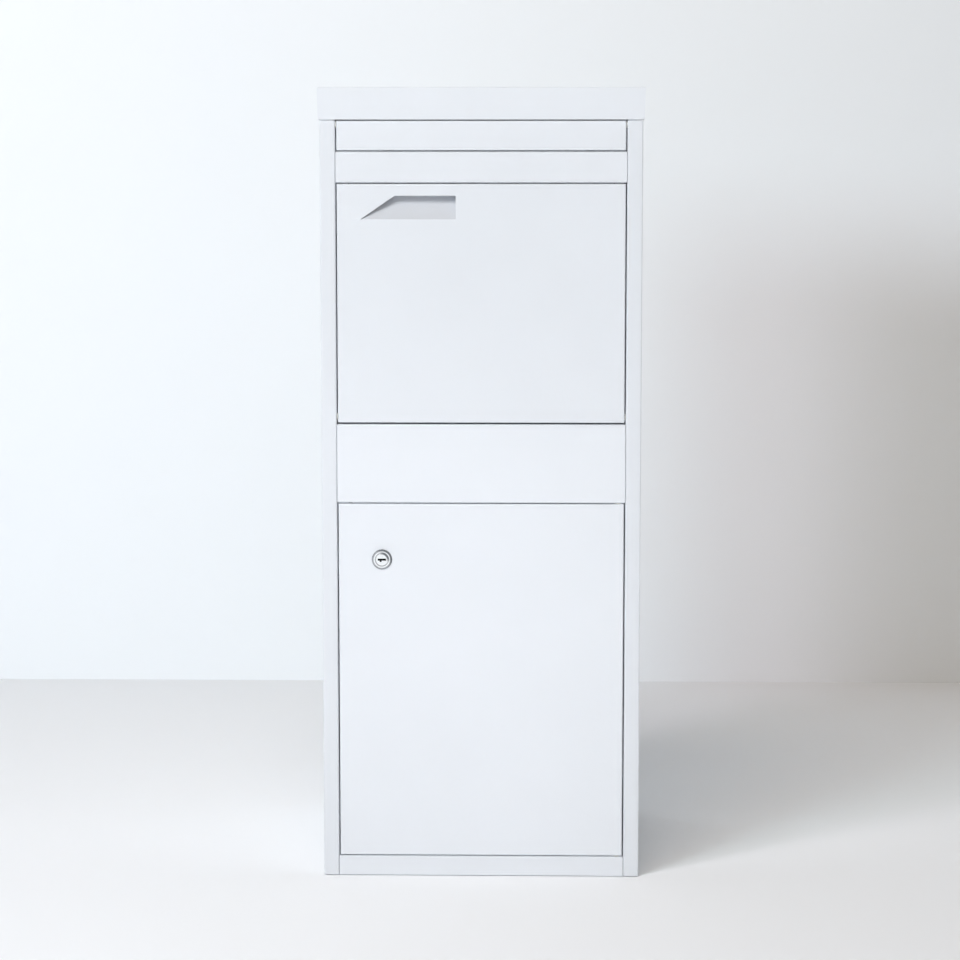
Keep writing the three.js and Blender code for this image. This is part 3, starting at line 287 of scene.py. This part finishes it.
# Materials
def powder_coat(name, colour, groove=False):
    """Satin powder coat: cloudy tone, orange-peel skin, a fine grain and at will the groove."""
    g = Graph(name)
    dark = darker(colour, COAT_DROP)
    clouds = g.spread(g.noise(*COAT_CLOUDS), 0, 1)
    grain = g.spread(g.noise(*COAT_GRAIN), 0, GRAIN_SHARE)
    tone = g.mix(grain, g.mix(clouds, dark, linear(*colour)), dark)
    skin = g.bump(g.noise(*SKIN), *SKIN_BUMP, below=g.bump(g.noise(*PEEL), *PEEL_BUMP))
    if groove:
        high = g.math("SUBTRACT", 1, g.near(g.axes()[2], GROOVE_HEIGHT, 0, GROOVE_HALF))
        skin = g.bump(high, *GROOVE_BUMP, below=skin)
    return g.finish(tone, g.spread(g.noise(*COAT_SHEEN), *COAT_ROUGHNESS), skin)


def zinc_plate(name):
    """Bright zinc with faint clouding and turning marks."""
    g = Graph(name)
    g.shader.inputs["Metallic"].default_value = 1
    dull, bright = (linear(*tone) for tone in ZINC_TONES)
    return g.finish(
        g.mix(g.spread(g.noise(*ZINC_CLOUDS), 0, 1), dull, bright),
        g.spread(g.noise(*ZINC_SHEEN), *ZINC_ROUGHNESS),
        g.bump(g.noise(*ZINC_MARKS), *ZINC_BUMP),
    )


def nickel_plate(name):
    """Polished nickel: bright faces, painted shade in the seam and on the rim, more to the upper
    right, and painted shade filling the keyway and a thin border round it.
    """
    g = Graph(name)
    g.shader.inputs["Metallic"].default_value = 1
    streaks = g.noise(*NICKEL_STREAKS, place=g.stretched(STREAK_STRETCH))
    dull, bright = (linear(*tone) for tone in NICKEL_TONES)
    x, y, z = g.axes()
    across = g.math("SUBTRACT", x, LOCK_ACROSS)
    up = g.math("SUBTRACT", z, LOCK_UP)
    squares = [g.math("MULTIPLY", side, side) for side in (across, up)]
    radius = g.math("SQRT", g.math("ADD", *squares))
    shade_side = g.spread(g.math("ADD", across, up), 0, 1, *SHADE_SIDE_REACH)
    seam = g.math("MULTIPLY", g.near(radius, PLUG_SEAM, *SEAM_WIDTH), SEAM_SHARE)
    deep = g.math("MULTIPLY", g.near(radius, DEEP_SEAM, *DEEP_WIDTH), shade_side)
    rim = g.math("MULTIPLY", g.spread(radius, 0, 1, *RIM_EDGE), g.spread(shade_side, RIM_SHARE, 1, 0, 1))
    # Painted shade: the seam and the rim are darkened, more to the upper right
    painted_shade = g.math("MAXIMUM", g.math("MAXIMUM", seam, deep), rim)
    face = g.mix(painted_shade, g.mix(g.spread(streaks, 0, 1), dull, bright), linear(*SHADE_TONE))
    slot = g.patch(across, up, (0, 0), KEYWAY_HALF)
    notch = g.patch(across, up, NOTCH_PLACE, NOTCH_HALF)
    front = g.math("LESS_THAN", y, LOCK_FACE + KEYWAY_DEPTH)
    # Painted shade: the keyway and a thin border round it are painted near black
    keyway_shade = g.math("MULTIPLY", g.math("MAXIMUM", slot, notch), front)
    return g.finish(
        g.mix(keyway_shade, face, linear(*KEYWAY_SHADE_TONE)),
        g.spread(streaks, *NICKEL_ROUGHNESS),
        g.bump(streaks, *NICKEL_BUMP),
    )


def moulded(name, colour, roughness, grain):
    """Moulded nylon or rubber: cloudy tone, uneven sheen and a fine grain."""
    g = Graph(name)
    clouds = g.spread(g.noise(*MOULD_CLOUDS), 0, 1)
    return g.finish(
        g.mix(clouds, darker(colour, MOULD_DROP), linear(*colour)),
        g.spread(g.noise(*MOULD_SHEEN), *roughness),
        g.bump(g.noise(*grain), *MOULD_BUMP),
    )


def seen_directly(tree):
    """1 for what the camera, gloss and clear pieces see, 0 for what lights the scene."""
    path = tree.nodes.new("ShaderNodeLightPath")
    seen = path.outputs["Is Camera Ray"]
    for name in ("Is Glossy Ray", "Is Transmission Ray"):
        either = tree.nodes.new("ShaderNodeMath")
        either.operation = "MAXIMUM"
        tree.links.new(seen, either.inputs[0])
        tree.links.new(path.outputs[name], either.inputs[1])
        seen = either.outputs[0]
    return seen


def matt(name, colour, one_sided=False):
    """Plain matt surface of the room that fades far off; one-sided, it is clear from behind."""
    g = Graph(name)
    shaded = tuple(c * MATT_SHADE for c in colour)
    g.wire(g.mix(g.noise(*MATT_CLOUDS), shaded, colour), g.shader.inputs["Base Color"])
    g.shader.inputs["Roughness"].default_value = MATT_ROUGHNESS
    g.shader.inputs["Specular IOR Level"].default_value = MATT_SPECULAR
    new = g.tree.nodes.new
    reach = new("ShaderNodeVectorMath")
    reach.operation = "LENGTH"
    g.wire(g.place, reach.inputs[0])
    far = g.spread(reach.outputs["Value"], 0, 1, FADE_START, FADE_END)
    pale = new("ShaderNodeEmission")
    pale.inputs["Color"].default_value = (*BACKDROP_COLOUR, 1)
    fade = g.math("MULTIPLY", far, seen_directly(g.tree))
    surface = g.blend(fade, g.shader.outputs["BSDF"], pale.outputs["Emission"])
    if one_sided:
        behind = new("ShaderNodeNewGeometry").outputs["Backfacing"]
        clear = g.math("MULTIPLY", behind, new("ShaderNodeLightPath").outputs["Is Camera Ray"])
        surface = g.blend(clear, surface, new("ShaderNodeBsdfTransparent").outputs["BSDF"])
    g.wire(surface, g.tree.nodes["Material Output"].inputs["Surface"])
    return g.material


# Finishes of the frame's nodes
def smoothing_group():
    """Geometry nodes that weld the facets and shade gentle edges smooth."""
    tree = bpy.data.node_groups.new("smooth_bends", "GeometryNodeTree")
    for way in ("INPUT", "OUTPUT"):
        tree.interface.new_socket("Geometry", in_out=way, socket_type="NodeSocketGeometry")
    new = tree.nodes.new
    start, end = new("NodeGroupInput"), new("NodeGroupOutput")
    weld = new("GeometryNodeMergeByDistance")
    weld.inputs["Distance"].default_value = WELD
    faces = new("GeometryNodeSetShadeSmooth")
    faces.domain = "FACE"
    edges = new("GeometryNodeSetShadeSmooth")
    edges.domain = "EDGE"
    edges.inputs["Shade Smooth"].default_value = False
    angle = new("GeometryNodeInputMeshEdgeAngle")
    sharp = new("FunctionNodeCompare")
    sharp.data_type = "FLOAT"
    sharp.operation = "GREATER_THAN"
    sharp.inputs["B"].default_value = radians(SMOOTH_ANGLE)
    wire = tree.links.new
    for source, target in ((start, weld), (weld, faces), (faces, edges), (edges, end)):
        wire(source.outputs["Geometry"], target.inputs["Geometry"])
    wire(angle.outputs["Unsigned Angle"], sharp.inputs["A"])
    wire(sharp.outputs["Result"], edges.inputs["Selection"])
    return tree


def smooth(obj, group):
    """Smooth bends between flat faces that stay flat."""
    obj.modifiers.new("smooth_bends", "NODES").node_group = group
    weighted = obj.modifiers.new("weighted_normals", "WEIGHTED_NORMAL")
    weighted.mode = "FACE_AREA"
    weighted.weight = FACE_WEIGHT
    weighted.keep_sharp = True


def finish_of(name):
    """Name of a node's finish, or of its powder coat."""
    for finish, parts in FINISH_WORDS.items():
        if name in parts or set(parts) & set(name.split("_")):
            return finish
    for coat, names in COATED_NODES.items():
        if name in names:
            return coat
    return "front"


def finish_nodes():
    """Gives every node of the frame its finish."""
    group = smoothing_group()
    finishes = {
        coat: powder_coat("coat_" + coat, tone, groove=coat == "tilting")
        for coat, tone in COATS.items()
    }
    finishes["zinc"] = zinc_plate("zinc")
    finishes["nickel"] = nickel_plate("nickel")
    finishes.update({name: moulded(name, *looks) for name, looks in MOULDED.items()})
    for name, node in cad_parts.items():
        node.data.materials.clear()
        node.data.materials.append(finishes[finish_of(name)])
        smooth(node, group)


# Room, lamps and camera
def plane(name, corners, material):
    """One flat surface of the room."""
    mesh = bpy.data.meshes.new(name)
    mesh.from_pydata(corners, [], [(0, 1, 2, 3)])
    mesh.materials.append(material)
    obj = link(bpy.data.objects.new(name, mesh))
    return obj


def room():
    """Pale floor and a wall behind the box."""
    low, high, back, top = -ROOM_HALF, ROOM_HALF, WALL_Y, ROOM_HEIGHT
    floor = [(low, low, 0), (high, low, 0), (high, high, 0), (low, high, 0)]
    wall = [(low, back, 0), (high, back, 0), (high, back, top), (low, back, top)]
    return [
        plane("floor", floor, matt("floor_paint", FLOOR_COLOUR)),
        plane("wall", wall, matt("wall_paint", WALL_COLOUR, one_sided=True)),
    ]


def light_only(lamp, surfaces, state):
    """Limits a lamp to the surfaces given, or keeps it off them."""
    receivers = bpy.data.collections.new(lamp.name + "_receivers")
    for surface in surfaces:
        receivers.objects.link(surface)
    for member in receivers.collection_objects:
        member.light_linking.link_state = state
    lamp.light_linking.receiver_collection = receivers


def lights(surfaces):
    """Lamps that light the box or the room, each facing its target."""
    for name, (place, target, size, spread, power, colour, lit) in LAMPS.items():
        lamp = bpy.data.lights.new(name, "AREA")
        lamp.shape = "DISK"
        lamp.size = size
        lamp.spread = radians(spread)
        lamp.energy = power
        lamp.color = colour
        obj = link(bpy.data.objects.new(name, lamp))
        obj.location = place
        aim = Vector(target) - obj.location
        obj.rotation_euler = aim.to_track_quat("-Z", "Y").to_euler()
        obj.visible_glossy = name == GLOSS_LAMP
        light_only(obj, surfaces, "INCLUDE" if lit == "room" else "EXCLUDE")


def sky():
    """Even light all round; what the camera and gloss see of it is the pale backdrop."""
    world = bpy.data.worlds.new("studio")
    bpy.context.scene.world = world
    world.use_nodes = True
    tree = world.node_tree
    light = tree.nodes["Background"]
    light.inputs["Color"].default_value = (*WORLD_COLOUR, 1)
    light.inputs["Strength"].default_value = WORLD_STRENGTH
    backdrop = tree.nodes.new("ShaderNodeBackground")
    backdrop.inputs["Color"].default_value = (*BACKDROP_COLOUR, 1)
    mix = tree.nodes.new("ShaderNodeMixShader")
    sources = (seen_directly(tree), light.outputs[0], backdrop.outputs[0])
    for socket, source in zip(mix.inputs, sources):
        tree.links.new(source, socket)
    tree.links.new(mix.outputs[0], tree.nodes["World Output"].inputs["Surface"])


def camera():
    """Camera with the view of the fitted front."""
    data = bpy.data.cameras.new("camera")
    data.sensor_width = SENSOR
    data.lens = CAMERA_LENS
    obj = link(bpy.data.objects.new("camera", data))
    obj.location = CAMERA_PLACE
    obj.rotation_euler = (radians(90 - CAMERA_PITCH), 0, radians(CAMERA_TURN))
    bpy.context.scene.camera = obj


finish_nodes()
lights(room())
sky()
camera()
bpy.context.scene.view_settings.view_transform = "Standard"
